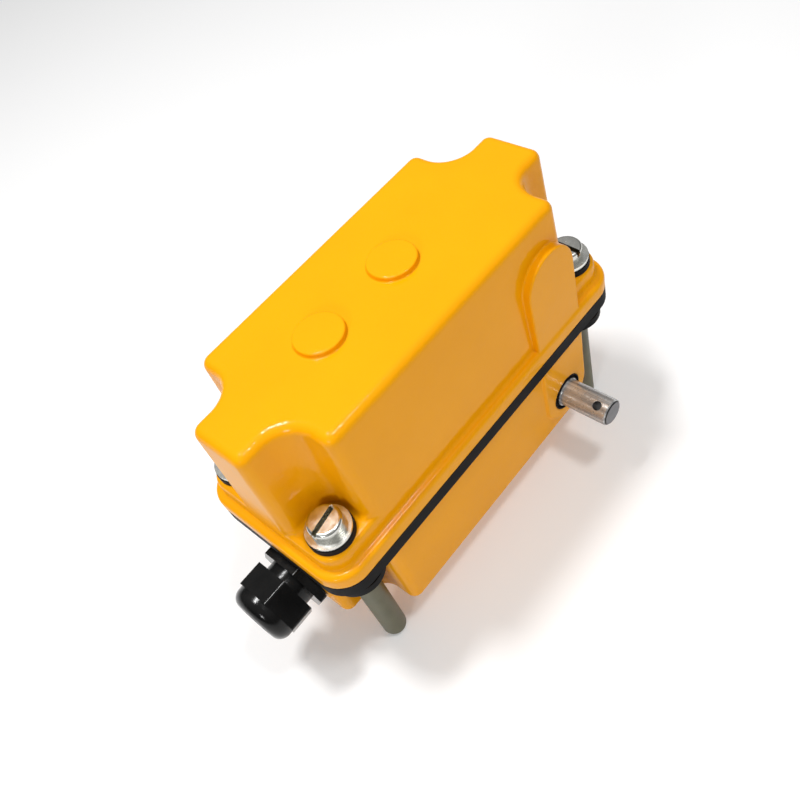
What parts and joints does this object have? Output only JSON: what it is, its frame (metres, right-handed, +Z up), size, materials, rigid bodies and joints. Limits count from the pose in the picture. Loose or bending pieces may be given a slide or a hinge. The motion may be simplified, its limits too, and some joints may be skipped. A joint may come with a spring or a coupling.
{
  "type": "crane height limit switch",
  "caption": "Geared hoist limit switch in a two part cast casing with a side drive shaft, long corner screws and a cable gland in one end.",
  "frame": {"origin": "middle of the underside of the lower casing", "axes": "+Z up through the cover, X along the casing from the gland (-X) to the shaft end (+X), the drive shaft points to -Y"},
  "size_m": [0.1948, 0.0976, 0.1352],
  "materials": {
    "cast_yellow": "gloss enamel on an aluminium casting",
    "black_rubber": "smooth moulded rubber",
    "zinc_steel": "bright zinc plate",
    "cap_olive": "soft matte plastic",
    "shaft_steel": "turned steel",
    "bronze": "sintered bronze",
    "wheel_nylon": "natural nylon",
    "cam_nylon": "moulded nylon",
    "pinion_brass": "turned brass",
    "switch_black": "moulded phenolic",
    "gland_nylon": "moulded black nylon"
  },
  "bodies": {
    "root": {"bolt_rubber_washers": "black_rubber", "bolt_washers": "zinc_steel", "camshaft_bushes": "bronze", "cover_bolts": "zinc_steel", "earth_screw": "zinc_steel", "flange_gasket": "black_rubber", "frame_screws": "zinc_steel", "front_bush": "bronze", "front_frame_plate": "zinc_steel", "gland_body": "gland_nylon", "gland_nut": "gland_nylon", "gland_o_ring": "black_rubber", "gland_seal": "black_rubber", "lever_pins": "shaft_steel", "lower_casing": "cast_yellow", "lug_rubber_rings": "black_rubber", "microswitch_body_1": "switch_black", "microswitch_body_2": "switch_black", "microswitch_body_3": "switch_black", "microswitch_body_4": "switch_black", "rear_bush": "bronze", "rear_frame_plate": "zinc_steel", "shaft_seal": "black_rubber", "switch_clamp_screws": "zinc_steel", "switch_insulators": "wheel_nylon", "switch_spacers": "zinc_steel", "switch_terminals": "bronze", "thread_caps": "cap_olive", "upper_cover": "cast_yellow"},
    "input": {"input_shaft": "shaft_steel", "worm": "shaft_steel", "worm_pin": "shaft_steel"},
    "cam_train": {"camshaft": "shaft_steel", "worm_wheel": "wheel_nylon", "wheel_pin": "shaft_steel", "cam_spacers": "wheel_nylon", "cam_lock_nut": "zinc_steel", "memory_cam_1": "cam_nylon", "memory_cam_2": "cam_nylon", "memory_cam_3": "cam_nylon", "memory_cam_4": "cam_nylon"},
    "pinion_1": {"adjusting_pinion_1": "pinion_brass"},
    "lever_1": {"switch_lever_1": "shaft_steel"},
    "roller_1": {"switch_roller_1": "wheel_nylon"},
    "plunger_1": {"switch_plunger_1": "wheel_nylon"},
    "pinion_2": {"adjusting_pinion_2": "pinion_brass"},
    "lever_2": {"switch_lever_2": "shaft_steel"},
    "roller_2": {"switch_roller_2": "wheel_nylon"},
    "plunger_2": {"switch_plunger_2": "wheel_nylon"},
    "pinion_3": {"adjusting_pinion_3": "pinion_brass"},
    "lever_3": {"switch_lever_3": "shaft_steel"},
    "roller_3": {"switch_roller_3": "wheel_nylon"},
    "plunger_3": {"switch_plunger_3": "wheel_nylon"},
    "pinion_4": {"adjusting_pinion_4": "pinion_brass"},
    "lever_4": {"switch_lever_4": "shaft_steel"},
    "roller_4": {"switch_roller_4": "wheel_nylon"},
    "plunger_4": {"switch_plunger_4": "wheel_nylon"}
  },
  "joints": [
    {"name": "input_spin", "type": "hinge", "parent": "root", "child": "input", "pos_m": [0.0466, 0, 0.0182], "axis": [0, -1, 0], "continuous": true},
    {"name": "cam_spin", "type": "hinge", "parent": "root", "child": "cam_train", "pos_m": [0, 0, 0.0492], "axis": [1, 0, 0], "continuous": true},
    {"name": "adjuster_1_spin", "type": "hinge", "parent": "root", "child": "pinion_1", "pos_m": [0, -0.01253, 0.02991], "axis": [1, 0, 0], "continuous": true},
    {"name": "adjuster_2_spin", "type": "hinge", "parent": "root", "child": "pinion_2", "pos_m": [0, -0.00439, 0.02662], "axis": [1, 0, 0], "continuous": true},
    {"name": "adjuster_3_spin", "type": "hinge", "parent": "root", "child": "pinion_3", "pos_m": [0, 0.00439, 0.02662], "axis": [1, 0, 0], "continuous": true},
    {"name": "adjuster_4_spin", "type": "hinge", "parent": "root", "child": "pinion_4", "pos_m": [0, 0.01253, 0.02991], "axis": [1, 0, 0], "continuous": true},
    {"name": "lever_1_swing", "type": "hinge", "parent": "root", "child": "lever_1", "pos_m": [0.0275, -0.011, 0.07148], "axis": [1, 0, 0], "range_deg": [0, 15], "stiffness_Nm_per_rad": 0.0005, "springref_deg": -5.73},
    {"name": "roller_1_spin", "type": "hinge", "parent": "lever_1", "child": "roller_1", "pos_m": [0.0275, -0.00079, 0.06708], "axis": [1, 0, 0], "continuous": true},
    {"name": "plunger_1_press", "type": "slide", "parent": "root", "child": "plunger_1", "axis": [0, 0, 1], "range_m": [0, 0.00106]},
    {"name": "lever_2_swing", "type": "hinge", "parent": "root", "child": "lever_2", "pos_m": [0.0165, -0.011, 0.07148], "axis": [1, 0, 0], "range_deg": [0, 15], "stiffness_Nm_per_rad": 0.0005, "springref_deg": -5.73},
    {"name": "roller_2_spin", "type": "hinge", "parent": "lever_2", "child": "roller_2", "pos_m": [0.0165, -0.00079, 0.06708], "axis": [1, 0, 0], "continuous": true},
    {"name": "plunger_2_press", "type": "slide", "parent": "root", "child": "plunger_2", "axis": [0, 0, 1], "range_m": [0, 0.00106]},
    {"name": "lever_3_swing", "type": "hinge", "parent": "root", "child": "lever_3", "pos_m": [0.0055, -0.011, 0.07148], "axis": [1, 0, 0], "range_deg": [0, 15], "stiffness_Nm_per_rad": 0.0005, "springref_deg": -5.73},
    {"name": "roller_3_spin", "type": "hinge", "parent": "lever_3", "child": "roller_3", "pos_m": [0.0055, -0.00079, 0.06708], "axis": [1, 0, 0], "continuous": true},
    {"name": "plunger_3_press", "type": "slide", "parent": "root", "child": "plunger_3", "axis": [0, 0, 1], "range_m": [0, 0.00106]},
    {"name": "lever_4_swing", "type": "hinge", "parent": "root", "child": "lever_4", "pos_m": [-0.0055, -0.011, 0.07148], "axis": [1, 0, 0], "range_deg": [0, 15], "stiffness_Nm_per_rad": 0.0005, "springref_deg": -5.73},
    {"name": "roller_4_spin", "type": "hinge", "parent": "lever_4", "child": "roller_4", "pos_m": [-0.0055, -0.00079, 0.06708], "axis": [1, 0, 0], "continuous": true},
    {"name": "plunger_4_press", "type": "slide", "parent": "root", "child": "plunger_4", "axis": [0, 0, 1], "range_m": [0, 0.00106]}
  ],
  "couplings": [
    {"joint": "cam_spin", "follows": "input_spin", "ratio": 0.021739},
    {"joint": "adjuster_1_spin", "follows": "input_spin", "ratio": -0.078261},
    {"joint": "adjuster_2_spin", "follows": "input_spin", "ratio": -0.078261},
    {"joint": "adjuster_3_spin", "follows": "input_spin", "ratio": -0.078261},
    {"joint": "adjuster_4_spin", "follows": "input_spin", "ratio": -0.078261},
    {"joint": "plunger_1_press", "follows": "lever_1_swing", "m_per_rad": 0.004},
    {"joint": "plunger_2_press", "follows": "lever_2_swing", "m_per_rad": 0.004},
    {"joint": "plunger_3_press", "follows": "lever_3_swing", "m_per_rad": 0.004},
    {"joint": "plunger_4_press", "follows": "lever_4_swing", "m_per_rad": 0.004}
  ]
}
